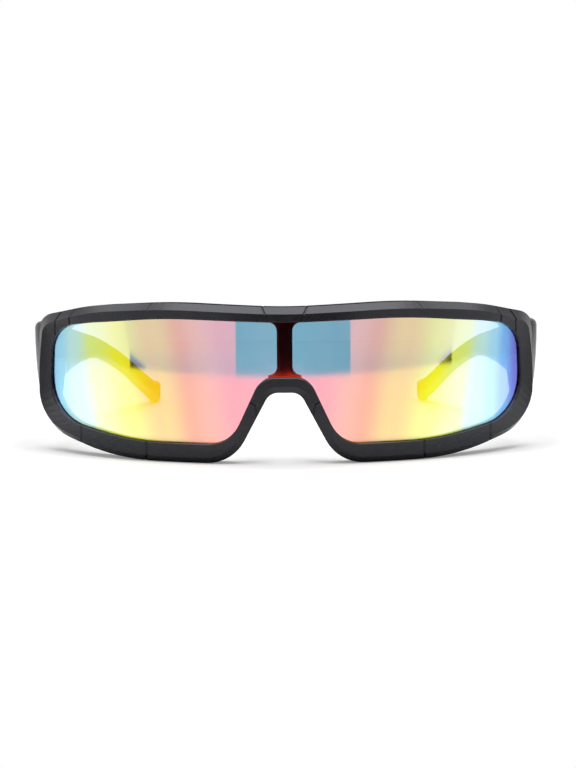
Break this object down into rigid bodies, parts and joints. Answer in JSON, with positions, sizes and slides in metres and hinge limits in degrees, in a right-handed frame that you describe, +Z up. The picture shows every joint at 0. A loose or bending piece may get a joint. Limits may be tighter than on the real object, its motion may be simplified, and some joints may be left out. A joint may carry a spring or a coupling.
{
  "type": "shield sunglasses",
  "caption": "Wraparound shield sunglasses with a mirrored lens in a thick black moulded front, a slim post behind the lens and folding temples.",
  "frame": {"origin": "on the ground under the middle of the open glasses' box, midway between the front and the temple tips", "axes": "+Z up, the front faces -Y, +X is the wearer's left, temples run back along +Y"},
  "size_m": [0.145, 0.16, 0.0435],
  "materials": {
    "black_plastic": "semi-gloss moulded nylon, charcoal black",
    "mirrored_lens": "tinted polycarbonate with a rainbow mirror coating, pink in the middle to yellow, cyan and blue at the ends",
    "hinge_steel": "plain nickel-plated steel"
  },
  "bodies": {
    "front": {"front_frame": "black_plastic", "shield_lens": "mirrored_lens", "hinge_front_leaf_left": "hinge_steel", "hinge_front_leaf_right": "hinge_steel", "hinge_screw_left": "hinge_steel", "hinge_screw_right": "hinge_steel"},
    "left_temple": {"temple_left": "black_plastic", "hinge_temple_leaf_left": "hinge_steel"},
    "right_temple": {"temple_right": "black_plastic", "hinge_temple_leaf_right": "hinge_steel"}
  },
  "joints": [
    {"name": "left_temple_fold", "type": "hinge", "parent": "front", "child": "left_temple", "pos_m": [0.0656, -0.032, 0.0254], "axis": [0, 0, 1], "range_deg": [0, 84]},
    {"name": "right_temple_fold", "type": "hinge", "parent": "front", "child": "right_temple", "pos_m": [-0.0656, -0.032, 0.0254], "axis": [0, 0, -1], "range_deg": [0, 78]}
  ]
}
